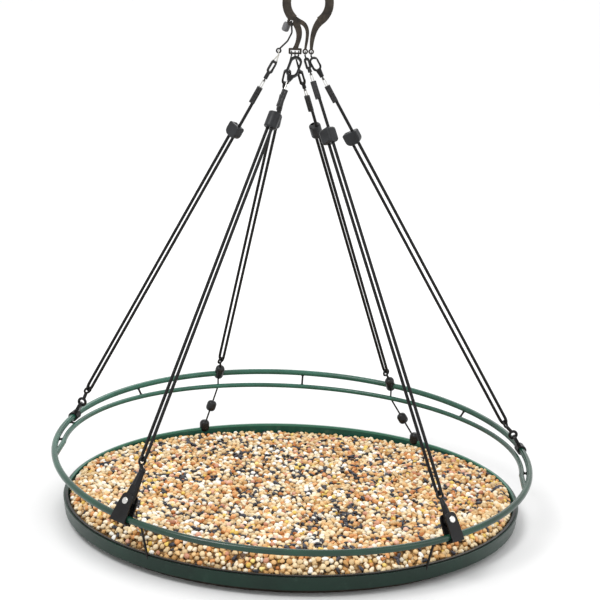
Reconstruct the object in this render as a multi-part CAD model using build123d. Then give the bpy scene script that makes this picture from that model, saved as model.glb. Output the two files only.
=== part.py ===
from build123d import *
import os
from math import cos, radians, sin

# Hanging round seed tray: a forged loop, six adjustable cord tethers, a tilted
# hoop with a level rear rail, and a shallow round tray full of seed.
# Millimetres, +Z up, origin at the centre of the hanging loop, front towards -Y.

os.makedirs("parts", exist_ok=True)

# ---------------------------------------------------------------- heights and radii
RIM_Z = -469.0          # top edge of the tray below the hanging loop
EYE_Z = -46.0           # the row of eyes that the tethers hang from

RAIL_R = 228.6          # hoop centreline, an 18 inch hoop
RAIL_WIRE_R = 3.0
RAIL_Z = RIM_Z + 41.7
RAIL_BACK_UP = 3.9      # degrees the hoop rises towards the back
RAIL_RIGHT_UP = -1.2    # degrees the hoop rises towards the right

REAR_R = 221.0          # level rail inside the back half of the hoop
REAR_WIRE_R = 2.4
REAR_Z = RIM_Z + 40.6
REAR_BACK_UP = 0.8
REAR_RIGHT_UP = -1.3
REAR_START = -9.0
REAR_SWEEP = 192.0
REAR_MERGE = 9.0        # degrees over which each end runs into the hoop
STRUT_R = 1.1
STRUT_ANGLES = (-7.0, 38.0, 88.0, 137.0, 168.5, 181.0)
STAY_FOOT_R = 218.6     # the front stays stand in the top edge of the tray band
STAY_FOOT_DROP = 3.0

BAND_R = 220.0          # outer radius of the green tray band at its top edge
BAND_LOW_R = 218.6
BAND_IN_R = 217.0
BAND_H = 12.0
PAN_GAP = 0.1
PAN_WALL = 1.2
PAN_LIP_R = 218.0
PAN_LIP_H = 1.2
PAN_FLOOR_DROP = 11.0   # underside of the pan floor below the rim
PAN_FLOOR_T = 1.5
DRAIN_R = 2.0
DRAIN_ROWS = ((60.0, 8), (115.0, 14), (170.0, 20))
FOOT_R = 211.0
FOOT_LOW_R = 207.5
FOOT_IN_R = 203.0
FOOT_H = 7.5            # from the pan floor to the ground

SEED_R = 215.3
SEED_SHOULDER = 0.75    # height gained per millimetre inwards at the heap's edge
SEED_SLOPE = 3.3        # degrees the heap falls towards the back
SEED_TOP = 6.0          # heap height above the rim at the middle

# ---------------------------------------------------------------- hanger
LOOP_IN_R = 15.5
LOOP_OUT_R = 23.5
LOOP_T = 5.0
ARM_T = 4.4
PRONG_T = 3.4
LOOP_START = -56.0
LOOP_END = 230.0
EYE_R = 1.9             # eye rings at the prong ends
EYE_WIRE_R = 0.75
YOKE_MID = -10.4        # the middle prong ends in a yoke that holds three tethers
YOKE_HALF = 5.1
YOKE_WIRE_R = 0.9
YOKE_TOP = -42.2
YOKE_TOP_R = 1.0
BOW_R = 2.0             # bow of each clasp, round the eye
BOW_WIRE_R = 0.5
BOW_BALL_R = 0.85       # the blob where the bow meets the clasp's shank
SHANK_R = (0.6, 1.2)
LOBE = (-14.6, -17.3)   # pierced lobe on the left arm
LOBE_R = 4.0
LOBE_HOLE_R = 1.4
WIRE_R = 0.8
KNOB_R = 3.5

# ---------------------------------------------------------------- tethers
CORD_R = 1.5
STAND_X = 1.0           # standing strand, in line with one crimp barrel
STRAND_GAP = 5.8        # from strand to strand
TURN_R = 2.75           # the cord's turn round the lower link
BARREL_R = 1.75
CRIMP_LEN = 17.0
LINK_WIRE_R = 0.5      # bright bow between clasp and crimp
LINK_LEAD = 8.5         # from the clasp's lower eye to the crimp
SLIDER_HOLE_R = CORD_R + 0.3
CLASP_T = 3.2
EYELET_T = 0.8
GATE_T = 1.6
GATE_SLOT = 1.8
PIN_R = 0.5
RING_R = 3.4            # lower ring that the cord turns round
RING_WIRE_R = 1.1
EYELET_R = 3.5          # second ring of the figure-eight links
EYELET_WIRE_R = 1.4
RIVET_Z = 14.0
RIVET_R = 1.6
RIVET_HEAD_R = 3.1
LEAF_Y = 3.2            # inner faces of the clip leaves, each side of the rail
LEAF_T = 1.5
TONGUE_T = 6.1          # what the rivet holds between the leaves

# name: eye x, rail angle, twist of the strands, shank, ring half width, ring wall,
# ring length, body length, slider distance, slider shape, lower fitting, its reach
TETHERS = {
    "left": (-25.5, 164.5, 50.0, 6.5, 3.0, 2.1, 13.0, 7.0, 84.0, "block", "strap", 31.0),
    "front_left": (-7.2, 230.5, 42.0, 1.4, 5.8, 2.2, 21.0, 4.5, 66.0, "barrel", "plate", 52.0),
    "rear_left": (-13.6, 111.5, 45.0, 17.0, 3.8, 1.7, 16.0, 5.0, 78.0, "small", "bead", 18.5),
    "front_right": (-1.1, 308.5, 52.0, 2.5, 2.6, 1.9, 11.0, 4.0, 79.0, "cube", "plate", 38.0),
    "right": (4.4, 9.0, 20.0, 1.4, 4.4, 1.9, 14.0, 7.5, 86.0, "block", "strap", 31.0),
    "rear_right": (-10.4, 63.0, 45.0, 18.0, 2.9, 2.0, 15.0, 5.0, 88.0, "small", "bead", 18.5),
}


def save(shape, name):
    """Write one node to its own STEP file."""
    export_step(shape, f"parts/{name}.step")


def tilted(height, back_up, right_up):
    """A nearly level plane, raised by these angles at the back and at the right."""
    normal = (-sin(radians(right_up)), -sin(radians(back_up)), 1.0)
    return Plane(origin=(0, 0, height), x_dir=(1, 0, sin(radians(right_up))), z_dir=normal)


RAIL_PLANE = tilted(RAIL_Z, RAIL_BACK_UP, RAIL_RIGHT_UP)
REAR_PLANE = tilted(REAR_Z, REAR_BACK_UP, REAR_RIGHT_UP)


def on_ring(plane, radius, angle):
    """The point at this angle on a ring in this plane."""
    turn = radians(angle)
    return plane.from_local_coords(Vector(radius * cos(turn), radius * sin(turn), 0))


def frustum(start, end, start_r, end_r):
    """A round rod between two points, tapered if the radii differ."""
    start, end = Vector(*start), Vector(*end)
    run = end - start
    base = Plane(origin=start, z_dir=run)
    if start_r == end_r:
        rod = Cylinder(start_r, run.length, align=(Align.CENTER, Align.CENTER, Align.MIN))
    else:
        rod = Cone(start_r, end_r, run.length, align=(Align.CENTER, Align.CENTER, Align.MIN))
    return base.location * rod


def wire(points, radii, radius):
    """A round wire along straight runs joined by tangent arcs."""
    path = FilletPolyline(*points, radius=radii)
    return sweep(Plane(origin=path @ 0, z_dir=path % 0) * Circle(radius), path=path)


def bead(radius, height):
    """A bead with well rounded ends, standing on its middle."""
    return fillet(Cylinder(radius, height).edges(), radius * 0.8)


# ---------------------------------------------------------------- hanger solids
def flat_bar(centre, widths, thickness):
    """A flat bar that follows centre points in XZ, as wide as given at each."""
    left, right = [], []
    for i, (x, z) in enumerate(centre):
        ahead = centre[min(i + 1, len(centre) - 1)]
        behind = centre[max(i - 1, 0)]
        run = Vector(ahead[0] - behind[0], ahead[1] - behind[1]).normalized()
        half = widths[i] / 2
        left.append((x - run.Y * half, z + run.X * half))
        right.append((x + run.Y * half, z - run.X * half))
    outline = Spline(*left) + Line(left[-1], right[-1]) + Spline(*right) + Line(right[0], left[0])
    return extrude(Plane.XZ * make_face(outline), amount=thickness / 2, both=True)


def eye_ring(x, radius, wire_r):
    """A ring in the XZ plane whose lowest point is in the eye row."""
    return Pos(x, 0, EYE_Z + radius) * Rot(90, 0, 0) * Torus(radius, wire_r)


def yoke():
    """A low frame under the prong whose straight lower bar lies in the eye row."""
    low, high = YOKE_MID - YOKE_HALF, YOKE_MID + YOKE_HALF
    solid = frustum((low, 0, YOKE_TOP), (high, 0, YOKE_TOP), YOKE_TOP_R, YOKE_TOP_R)
    solid += frustum((low, 0, EYE_Z), (high, 0, EYE_Z), YOKE_WIRE_R, YOKE_WIRE_R)
    for x in (low, high):
        solid += frustum((x, 0, YOKE_TOP), (x, 0, EYE_Z), YOKE_TOP_R, YOKE_WIRE_R)
        solid += Pos(x, 0, YOKE_TOP) * Sphere(YOKE_TOP_R) + Pos(x, 0, EYE_Z) * Sphere(YOKE_WIRE_R)
    return solid


def hanger_bar():
    opening = Polyline(
        (0, 0), on_circle(80, LOOP_START), (0, -90), on_circle(80, LOOP_END), (0, 0)
    )
    loop = Circle(LOOP_OUT_R) - Circle(LOOP_IN_R) - make_face(opening)
    bar = extrude(Plane.XZ * loop, amount=LOOP_T / 2, both=True)
    right_arm = [(16.0, -11.2), (12.3, -15.4), (8.3, -21.0), (5.8, -28.0), (4.7, -35.0), (4.4, -42.0)]
    bar += flat_bar(right_arm, (7.6, 7.4, 6.0, 4.8, 3.8, 2.8), ARM_T)
    arc_prong = [
        (-16.2, -11.0), (-12.6, -14.8), (-8.0, -16.8), (-3.4, -19.0),
        (-0.2, -24.0), (0.3, -30.0), (-0.3, -36.0), (-1.1, -42.0),
    ]
    bar += flat_bar(arc_prong, (7.0, 6.6, 4.8, 4.0, 3.4, 3.0, 2.6, 2.2), PRONG_T)
    drop_prong = [
        (-13.4, -14.6), (-9.8, -20.0), (-7.6, -25.5), (-7.4, -32.0), (-8.9, -38.0), (-10.2, -41.8),
    ]
    bar += flat_bar(drop_prong, (6.4, 6.2, 5.6, 4.8, 4.2, 5.0), PRONG_T)
    lobe = Pos(*LOBE) * Circle(LOBE_R)
    bar += extrude(Plane.XZ * lobe, amount=PRONG_T / 2, both=True)
    hole = Pos(*LOBE) * Circle(LOBE_HOLE_R)
    bar -= extrude(Plane.XZ * hole, amount=LOOP_T, both=True)
    bar += yoke()
    for x in (-1.1, 4.4):
        bar += eye_ring(x, EYE_R, EYE_WIRE_R)
    return bar


def on_circle(radius, angle):
    """A flat point at this angle, as XZ coordinates of the loop's face."""
    return (radius * cos(radians(angle)), radius * sin(radians(angle)))


KNOB_AT = Vector(-19.4, 7.4, -22.6)


def hook_wire():
    """The wire through the lobe, from its knob to the left tether's eye."""
    points = [
        KNOB_AT, (LOBE[0], 7.4, LOBE[1]), (LOBE[0], -5.6, LOBE[1]),
        (-13.8, -4.6, -27.0), (-17.6, -1.6, -35.0), (-24.6, 0.0, EYE_Z + 2 * EYE_R),
    ]
    route = wire(points, [1.8, 2.4, 5.0, 6.0], WIRE_R)
    return route + eye_ring(-25.5, EYE_R, EYE_WIRE_R)


def hook_knob(through):
    """The rounded keeper on the wire's tail."""
    keeper = Pos(*KNOB_AT) * Rot(0, 20, 0) * fillet(Cylinder(KNOB_R, 9.0).edges(), 2.4)
    return keeper - through


# ---------------------------------------------------------------- tether solids
class Tether:
    """Where one tether runs, and its own frame: z down the tether, x across the strands."""

    def __init__(self, name):
        self.name = name
        (self.eye_x, angle, twist, self.shank, self.half, self.wall, self.ring_len, self.body_len,
         self.slider_at, self.slider_shape, self.fitting, self.reach) = TETHERS[name]
        self.eye = Vector(self.eye_x, 0, EYE_Z)
        self.rail_point = on_ring(RAIL_PLANE, RAIL_R, angle)
        fall = (self.rail_point - self.eye).normalized()
        drop = Vector(0, fall.Y, fall.Z).normalized()
        self.top = self.eye + drop * BOW_R
        run = self.rail_point - self.top
        self.length = run.length
        self.down = run.normalized()
        level = Vector(1, 0, 0) - self.down * self.down.X
        self.frame = Plane(origin=self.top, x_dir=level, z_dir=self.down).rotated((0, 0, 0))
        self.spun = Plane(origin=self.top, x_dir=level.rotate(Axis((0, 0, 0), self.down), twist),
                          z_dir=self.down)
        tangent = RAIL_PLANE.from_local_coords(
            Vector(-sin(radians(angle)), cos(radians(angle)), 0)) - RAIL_PLANE.origin
        up = -self.down
        upright = up - tangent * up.dot(tangent)
        self.clip = Plane(origin=self.rail_point, x_dir=tangent, z_dir=upright)
        self.eyelet_at = self.shank + self.ring_len + self.body_len
        self.crimp_at = self.eyelet_at + LINK_LEAD
        self.turn_at = self.length - self.reach


def gate_points(t):
    """Where a clasp's gate pivots and where its tip is, across and along the clasp."""
    x = t.half - t.wall / 2
    bend = 0.8 * t.half
    return (x, t.shank + t.ring_len - max(3.4, bend)), (x, t.shank + max(3.0, bend))


def clasp(t):
    """The snap clasp: bow, shank, ring with a side opening, body and lower eye.

    The left one has two legs spread from the bow instead of one shank.
    """
    middle = t.shank + t.ring_len / 2
    ring = RectangleRounded(2 * t.half, t.ring_len, t.half - 0.05)
    ring -= RectangleRounded(
        2 * (t.half - t.wall), t.ring_len - 2 * t.wall, t.half - t.wall - 0.05)
    (px, pz), (gx, gz) = gate_points(t)
    solid = extrude(Plane.XZ * (Pos(0, middle) * ring), amount=CLASP_T / 2, both=True)
    doorway = Pos(px, 0, (pz + gz) / 2 - 0.8) * Box(t.wall + 1.4, 9, pz - gz - 0.6)
    solid -= doorway
    solid -= Pos(px, 0, pz - 0.4) * Box(t.wall + 1.4, GATE_SLOT, 3.4)
    solid += Pos(px, 0, pz) * Rot(90, 0, 0) * Cylinder(PIN_R, CLASP_T)
    foot = t.shank + t.ring_len
    solid += frustum((0, 0, foot - 1.2), (0, 0, t.eyelet_at - 1.0), t.half * 0.62, 1.9)
    solid += Pos(0, 0, t.eyelet_at) * Rot(0, 90, 0) * Cylinder(2.3, EYELET_T)
    solid -= Pos(0, 0, t.eyelet_at) * Rot(0, 90, 0) * Cylinder(1.1, 12)
    solid += Sphere(BOW_BALL_R)
    if t.name == "left":
        for x in (-t.half + 0.8, t.half - 0.8):
            solid += frustum((0, 0, 0.2), (x, 0, t.shank + 1.8), SHANK_R[0], SHANK_R[0])
    else:
        solid += frustum((0, 0, 0.2), (0, 0, t.shank + 1.0), SHANK_R[0], SHANK_R[1])
    solid = t.frame.location * solid
    bow = Pos(*t.eye) * Rot(0, 90, 0) * Torus(BOW_R, BOW_WIRE_R)
    return solid + bow


def gate(t):
    """The clasp's spring gate, in line with the ring's wall, round its pin."""
    (px, pz), (gx, gz) = gate_points(t)
    length = pz - gz
    lever = SlotCenterToCenter(length - 0.6, t.wall - 0.2)
    lever = Pos(px, (pz + gz) / 2 + 0.3) * Rot(0, 0, 90) * lever
    solid = extrude(Plane.XZ * lever, amount=GATE_T / 2, both=True)
    solid -= Pos(px, 0, pz) * Rot(90, 0, 0) * Cylinder(PIN_R + 0.06, 6)
    return t.frame.location * solid


def steel_link(t):
    """The bright bow from the clasp's lower eye into both crimp barrels."""
    apex = t.eyelet_at + 0.1
    crown = Pos(0, 0, apex + STAND_X) * Rot(90, 0, 0) * Torus(STAND_X, LINK_WIRE_R)
    crown -= Pos(0, 0, apex + STAND_X + 10) * Box(20, 20, 20)
    solid = crown
    for x in (-STAND_X, STAND_X):
        solid += frustum((x, 0, apex + STAND_X), (x, 0, t.crimp_at + 5.0), LINK_WIRE_R, LINK_WIRE_R)
    return t.frame.location * solid


def crimp(t, link):
    """The double barrel sleeve that holds the cord and the bright bow."""
    solid = None
    for x in (-STAND_X, STAND_X):
        barrel = frustum((x, 0, t.crimp_at), (x, 0, t.crimp_at + CRIMP_LEN), BARREL_R, BARREL_R)
        solid = barrel if solid is None else solid + barrel
    return t.frame.location * solid - link


def cord_route(t):
    """The cord's corners: down to the lower ring, round it and back to the slider."""
    frame = t.frame
    across = t.spun
    start = frame.from_local_coords(Vector(STAND_X, 0, t.crimp_at + CRIMP_LEN))
    stand = start + t.down * (t.turn_at - t.crimp_at - CRIMP_LEN)
    side = across.x_dir * -STRAND_GAP
    end = stand + side - t.down * (t.turn_at - t.slider_at + 2.0)
    return [start, stand, stand + side, end]


def strand_middle(t, distance):
    """The point midway between the strands, this far down the tether."""
    start = t.frame.from_local_coords(Vector(STAND_X, 0, distance))
    return start + t.spun.x_dir * (-STRAND_GAP / 2)


def strand_frame(t, distance):
    """A frame midway between the strands, x across them and z down."""
    return Plane(origin=strand_middle(t, distance), x_dir=t.spun.x_dir, z_dir=t.down)


def cord(t):
    """The tether's one cord."""
    return wire(cord_route(t), [TURN_R, TURN_R], CORD_R)


def slider(t):
    """The adjuster on the doubled cord."""
    if t.slider_shape == "barrel":
        solid = fillet(Cylinder(6.0, 15.5).edges(), 1.4)
    elif t.slider_shape == "small":
        solid = fillet(Cylinder(5.7, 13.0).edges(), 1.4)
    elif t.slider_shape == "cube":
        solid = fillet(Box(14.0, 11.5, 14.5).edges(), 3.0)
    else:
        face = Sketch() + Rectangle(15.0, 12.5)
        face = fillet(face.vertices().group_by(Axis.Y)[0], 1.8)
        face = fillet(face.vertices().group_by(Axis.Y)[-1], 5.2)
        solid = extrude(Plane.XZ * face, amount=4.3, both=True)
        solid = fillet(solid.faces().filter_by(Axis.Y).edges(), 1.2)
    for x in (-STRAND_GAP / 2, STRAND_GAP / 2):
        solid -= Pos(x, 0, 0) * Cylinder(SLIDER_HOLE_R, 40)
    return strand_frame(t, t.slider_at).location * solid


def lower_ring(t):
    """The ring in the cord's turn, in its own plane, and its lowest point."""
    centre_at = t.turn_at - TURN_R + RING_R
    ring = strand_frame(t, centre_at).location * Rot(0, 90, 0) * Torus(RING_R, RING_WIRE_R)
    return ring, strand_middle(t, centre_at + RING_R)


def in_clip(t, x, y, z):
    return t.clip.from_local_coords(Vector(x, y, z))


def plate_link(t):
    """Ring, tapered neck and the tongue that the clip's rivet holds; a ball on the longer one."""
    ring, foot = lower_ring(t)
    if t.name == "front_left":
        joint = in_clip(t, 0, 0, RIVET_Z + 29.0)
        solid = ring + frustum(foot, joint, 1.6, 2.4) + Pos(*joint) * Sphere(3.2)
        neck = frustum(joint, in_clip(t, 0, 0, RIVET_Z), 2.6, 5.6)
    else:
        joint = in_clip(t, 0, 0, RIVET_Z + 13.0)
        solid = ring + frustum(foot, joint, 1.6, 2.7) + Pos(*joint) * Sphere(2.7)
        neck = frustum(joint, in_clip(t, 0, 0, RIVET_Z), 2.6, 4.0)
    tongue = t.clip.location * Pos(0, 0, RIVET_Z) * Rot(90, 0, 0) * Cylinder(4.2, TONGUE_T)
    slab = t.clip.location * Pos(0, 0, RIVET_Z) * Box(30, TONGUE_T, 30)
    upper = t.clip.location * Pos(0, 0, RIVET_Z + 15 + 30) * Box(60, 60, 60)
    return solid + (neck & (slab + upper)) + tongue - rivet_shank(t)


def rivet_shank(t):
    return t.clip.location * Pos(0, 0, RIVET_Z) * Rot(90, 0, 0) * Cylinder(RIVET_R, 30)


def rivet(t):
    """A domed rivet through both leaves."""
    reach = LEAF_Y + LEAF_T
    solid = Rot(90, 0, 0) * Cylinder(RIVET_R, 2 * reach + 0.4)
    for way in (-1, 1):
        head = Pos(0, way * (reach + 0.6), 0) * Rot(90, 0, 0) * Cylinder(RIVET_HEAD_R, 1.2)
        outer = head.edges().sort_by(Axis.Y)[0 if way < 0 else -1]
        solid += fillet(outer, 0.9)
    return t.clip.location * Pos(0, 0, RIVET_Z) * solid


def plate_clip(t):
    """A plate folded under the rail, its two leaves rising each side of it."""
    if t.name == "front_left":
        outline = [(-8.8, -5.3), (8.8, -5.3), (8.0, 4.0), (7.0, 12.0), (5.2, 21.0),
                   (-5.2, 21.0), (-7.0, 12.0), (-8.0, 4.0)]
        round_r = 3.8
    else:
        outline = [(-6.6, -5.3), (6.6, -5.3), (6.4, 12.0), (5.2, 20.5), (-5.2, 20.5), (-6.4, 12.0)]
        round_r = 4.0
    face = make_face(Polyline(*outline, close=True))
    face = fillet(face.vertices().group_by(Axis.Y)[-1], round_r)
    leaf = extrude(Plane.XZ * face, amount=LEAF_T / 2, both=True)
    middle = LEAF_Y + LEAF_T / 2
    web = Pos(0, 0, -4.4) * Box(2 * outline[1][0] - 0.4, 2 * middle, 1.6)
    solid = Pos(0, -middle, 0) * leaf + Pos(0, middle, 0) * leaf + web
    return t.clip.location * solid - rivet_shank(t)


TAB_HOLE_Z = 14.0


def strap_link(t):
    """A figure-eight link, its second ring turned to pass through the strap's hole."""
    ring, foot = lower_ring(t)
    centre = in_clip(t, 0, 0, TAB_HOLE_Z + EYELET_R)
    second = Plane(origin=centre, z_dir=t.clip.x_dir).location * Torus(EYELET_R, EYELET_WIRE_R)
    top = in_clip(t, 0, 0, TAB_HOLE_Z + 2 * EYELET_R)
    return ring + second + frustum(foot, top, 1.7, 1.7)


def strap_clip(t):
    """A strap closed round the rail, with a pierced tab above it."""
    sleeve = Rot(0, 90, 0) * (Cylinder(4.8, 10.0) - Cylinder(RAIL_WIRE_R + 0.1, 20))
    tab = Pos(0, 0, 9.6) * Box(8.4, 3.4, 13.6)
    tab = fillet(tab.edges().filter_by(Axis.Y).group_by(Axis.Z)[-1], 3.4)
    solid = sleeve + tab
    solid -= Pos(0, 0, TAB_HOLE_Z) * Rot(90, 0, 0) * Cylinder(1.9, 12)
    solid -= Rot(0, 90, 0) * Cylinder(RAIL_WIRE_R + 0.1, 20)
    return t.clip.location * solid


BEAD_UP = 2.0
BEAD_R = 5.0
BEAD_H = 17.0


def bead_clip(t):
    """A long bead clamped on the rail."""
    solid = Pos(0, 0, BEAD_UP) * bead(BEAD_R, BEAD_H)
    solid -= Rot(0, 90, 0) * Cylinder(RAIL_WIRE_R + 0.1, 20)
    return t.clip.location * solid


def bead_link(t):
    """A ring with a short stem that stands in its bead."""
    ring, foot = lower_ring(t)
    top = in_clip(t, 0, 0, BEAD_UP + BEAD_H / 2 - 1.5)
    return ring + frustum(foot, top, 1.2, 1.2)


# ---------------------------------------------------------------- rails and tray
def rear_rail(upper_rail):
    """The level rail; each end bends out and is welded along the hoop."""
    arc = Rot(0, 0, REAR_START) * Torus(REAR_R, REAR_WIRE_R, major_angle=REAR_SWEEP, align=None)
    rail = REAR_PLANE.location * arc
    for angle, way in ((REAR_START, -1), (REAR_START + REAR_SWEEP, 1)):
        bend = on_ring(REAR_PLANE, REAR_R, angle)
        weld = on_ring(RAIL_PLANE, RAIL_R, angle + way * REAR_MERGE)
        leg = frustum(bend, weld, REAR_WIRE_R, REAR_WIRE_R) - upper_rail
        leg = max(leg.solids(), key=lambda piece: piece.volume)
        rail += Pos(*bend) * Sphere(REAR_WIRE_R + 0.1)
        rail += leg
    return rail


def rail_struts(rails):
    """Short wires that join the hoop and the level rail."""
    solids = []
    for angle in STRUT_ANGLES:
        upper = on_ring(RAIL_PLANE, RAIL_R, angle)
        lower = on_ring(REAR_PLANE, REAR_R, angle)
        rod = frustum(upper, lower, STRUT_R, STRUT_R)
        for rail in rails:
            rod -= rail
        solids += rod.solids()
    return Compound(solids)


def front_stays(upper_rail):
    """The two wires from the hoop's front down into the tray band."""
    solids = []
    for name in ("front_left", "front_right"):
        angle = TETHERS[name][1] + (5.5 if name == "front_left" else -5.5)
        foot = (STAY_FOOT_R * cos(radians(angle)), STAY_FOOT_R * sin(radians(angle)),
                RIM_Z - STAY_FOOT_DROP)
        rod = frustum(on_ring(RAIL_PLANE, RAIL_R, angle), foot, STRUT_R, STRUT_R)
        solids += (rod - upper_rail).solids()
    return Compound(solids)


def ring_of(profile):
    """A solid turned round the tray's axis from radius and height points."""
    face = Plane.XZ * make_face(Polyline(*profile, close=True))
    return Pos(0, 0, RIM_Z) * revolve(face, Axis.Z)


def tray_band():
    return ring_of([(BAND_IN_R, 0), (BAND_R, 0), (BAND_LOW_R, -BAND_H), (BAND_IN_R, -BAND_H)])


def tray_pan():
    """The dark pan: floor with drain holes, wall, and a lip over the band's edge."""
    wall_r = BAND_IN_R - PAN_GAP
    inner = wall_r - PAN_WALL
    floor_top = PAN_FLOOR_T - PAN_FLOOR_DROP
    pan = ring_of([
        (0, -PAN_FLOOR_DROP), (wall_r, -PAN_FLOOR_DROP), (wall_r, 0.0), (PAN_LIP_R, 0.0),
        (PAN_LIP_R, PAN_LIP_H), (inner, PAN_LIP_H), (inner, floor_top), (0, floor_top),
    ])
    holes = []
    for radius, count in DRAIN_ROWS:
        for i in range(count):
            x, y = on_circle(radius, 360.0 * i / count)
            holes.append(Pos(x, y, RIM_Z - PAN_FLOOR_DROP) * Cylinder(DRAIN_R, 8))
    return pan - holes


def tray_foot():
    top = -PAN_FLOOR_DROP
    return ring_of([
        (FOOT_IN_R, top), (FOOT_R, top), (FOOT_R, top - 1.5),
        (FOOT_LOW_R, top - FOOT_H), (FOOT_IN_R, top - FOOT_H),
    ])


def seed_bed():
    """The heap of seed: a sloping top with shoulders falling to the tray's edge."""
    low = PAN_FLOOR_T - PAN_FLOOR_DROP + 0.3
    high = 24.0
    heap = ring_of([
        (0, low), (SEED_R, low), (SEED_R, -0.5), (SEED_R - high / SEED_SHOULDER, high), (0, high),
    ])
    lid = Plane(origin=(0, 0, RIM_Z + SEED_TOP), z_dir=(0, sin(radians(SEED_SLOPE)), 1))
    heap -= lid.location * Pos(0, 0, 50) * Box(600, 600, 100)
    return heap


DROP_ANGLES = {"rear_left": (113.5, 116.5), "rear_right": (60.0, 53.0)}


def drop_chains(tethers, rear):
    """Wires, middle beads and rim clamps that carry the tray's back edge."""
    wires, beads, clamps = [], [], []
    for name, (mid_angle, rim_angle) in DROP_ANGLES.items():
        t = tethers[name]
        top = in_clip(t, 0, 0, BEAD_UP - BEAD_H / 2 + 1.0)
        weld = on_ring(REAR_PLANE, REAR_R, TETHERS[name][1] * 0.6 + mid_angle * 0.4)
        rim = on_ring(Plane(origin=(0, 0, RIM_Z + 3.0)), BAND_R - 2.4, rim_angle)
        middle = weld * 0.5 + rim * 0.5
        mid_bead = Plane(origin=middle, z_dir=weld - rim).location * bead(5.2, 12.0)
        clamp = Pos(*rim) * bead(5.2, 13.0)
        slot = Cylinder(BAND_R + 0.1, 60) - Cylinder(BAND_IN_R - PAN_GAP - PAN_WALL - 0.1, 60)
        clamp -= Pos(0, 0, RIM_Z + PAN_LIP_H + 0.1 - 30) * slot
        for start, end in ((top, weld), (weld, middle), (middle, rim)):
            rod = frustum(start, end, 0.9, 0.9) - bead_clip(t) - rear - mid_bead - clamp
            wires += [max(rod.solids(), key=lambda piece: piece.volume)]
        beads += mid_bead.solids()
        clamps += clamp.solids()
    return Compound(wires), Compound(beads), Compound(clamps)


# ---------------------------------------------------------------- build
bar = hanger_bar()
save(bar, "hanger_bar")
hooked = hook_wire()
save(hooked, "hook_wire")
save(hook_knob(hooked), "hook_knob")

tethers = {name: Tether(name) for name in TETHERS}
links = []
rivets = []
for name, t in tethers.items():
    link = steel_link(t)
    links += link.solids()
    save(clasp(t), f"{name}_clasp")
    save(gate(t), f"{name}_gate")
    save(crimp(t, link), f"{name}_crimp")
    save(cord(t), f"{name}_cord")
    save(slider(t), f"{name}_slider")
    if t.fitting == "plate":
        save(plate_link(t), f"{name}_lower_link")
        save(plate_clip(t), f"{name}_hoop_clip")
        rivets += rivet(t).solids()
    elif t.fitting == "strap":
        save(strap_link(t), f"{name}_lower_link")
        save(strap_clip(t), f"{name}_hoop_clip")
    else:
        save(bead_link(t) - bead_clip(t), f"{name}_lower_link")
        save(bead_clip(t), f"{name}_hoop_clip")
save(Compound(links), "steel_links")
save(Compound(rivets), "clip_rivets")

upper = RAIL_PLANE.location * Torus(RAIL_R, RAIL_WIRE_R)
rear = rear_rail(upper)
save(upper, "upper_rail")
save(rear, "rear_rail")
save(rail_struts((upper, rear)), "rail_struts")
band = tray_band()
stays = front_stays(upper)
save(stays, "front_stays")
save(band - stays, "tray_band")
save(tray_pan() - stays, "tray_pan")
save(tray_foot(), "tray_foot")
save(seed_bed(), "seed_bed")
wires, beads, clamps = drop_chains(tethers, rear)
save(wires, "drop_wires")
save(beads, "drop_beads")
save(clamps, "rim_clamps")

for name, t in tethers.items():
    route = cord_route(t)
    tube = cord(t)
    centreline = tube.volume / (3.14159265 * CORD_R ** 2)
    print(f"{name}: tether {t.length:.1f}, cord {centreline:.1f}, turn radius {TURN_R}")
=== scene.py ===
"""Looks for the hanging round seed tray: materials, seed, cords, light and camera.

Metres, +Z up, origin at the centre of the hanging loop, front towards -Y.
"""
import random
from math import cos, pi, radians, sin, sqrt, tan

import bmesh
import bpy
import numpy as np
from mathutils import Matrix, Vector, noise


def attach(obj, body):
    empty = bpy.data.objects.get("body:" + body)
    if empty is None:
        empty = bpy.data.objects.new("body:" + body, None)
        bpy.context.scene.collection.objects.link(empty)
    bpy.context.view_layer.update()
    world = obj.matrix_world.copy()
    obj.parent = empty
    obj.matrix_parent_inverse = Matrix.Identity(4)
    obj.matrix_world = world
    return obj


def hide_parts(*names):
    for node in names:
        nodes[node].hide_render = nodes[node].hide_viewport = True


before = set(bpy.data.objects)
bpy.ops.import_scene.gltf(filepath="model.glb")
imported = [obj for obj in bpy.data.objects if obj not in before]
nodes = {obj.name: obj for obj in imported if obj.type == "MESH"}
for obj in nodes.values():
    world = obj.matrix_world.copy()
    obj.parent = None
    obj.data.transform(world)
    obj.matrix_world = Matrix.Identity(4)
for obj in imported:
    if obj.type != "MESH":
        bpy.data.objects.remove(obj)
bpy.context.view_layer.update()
scene = bpy.context.scene

MM = 0.001
RIM_Z = -0.469  # the top of the tray
FLOOR_DROP = 0.0187  # from the rim to the floor, 0.2 mm under the foot
FLOOR_Z = RIM_Z - FLOOR_DROP


# ---------------------------------------------------------------- shader helpers
def linear(hex_colour):
    """A linear colour with alpha from a hex string such as '1F5A45'."""
    channels = [int(hex_colour[i:i + 2], 16) / 255 for i in (0, 2, 4)]
    return [c / 12.92 if c <= 0.04045 else ((c + 0.055) / 1.055) ** 2.4 for c in channels] + [1.0]


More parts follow.
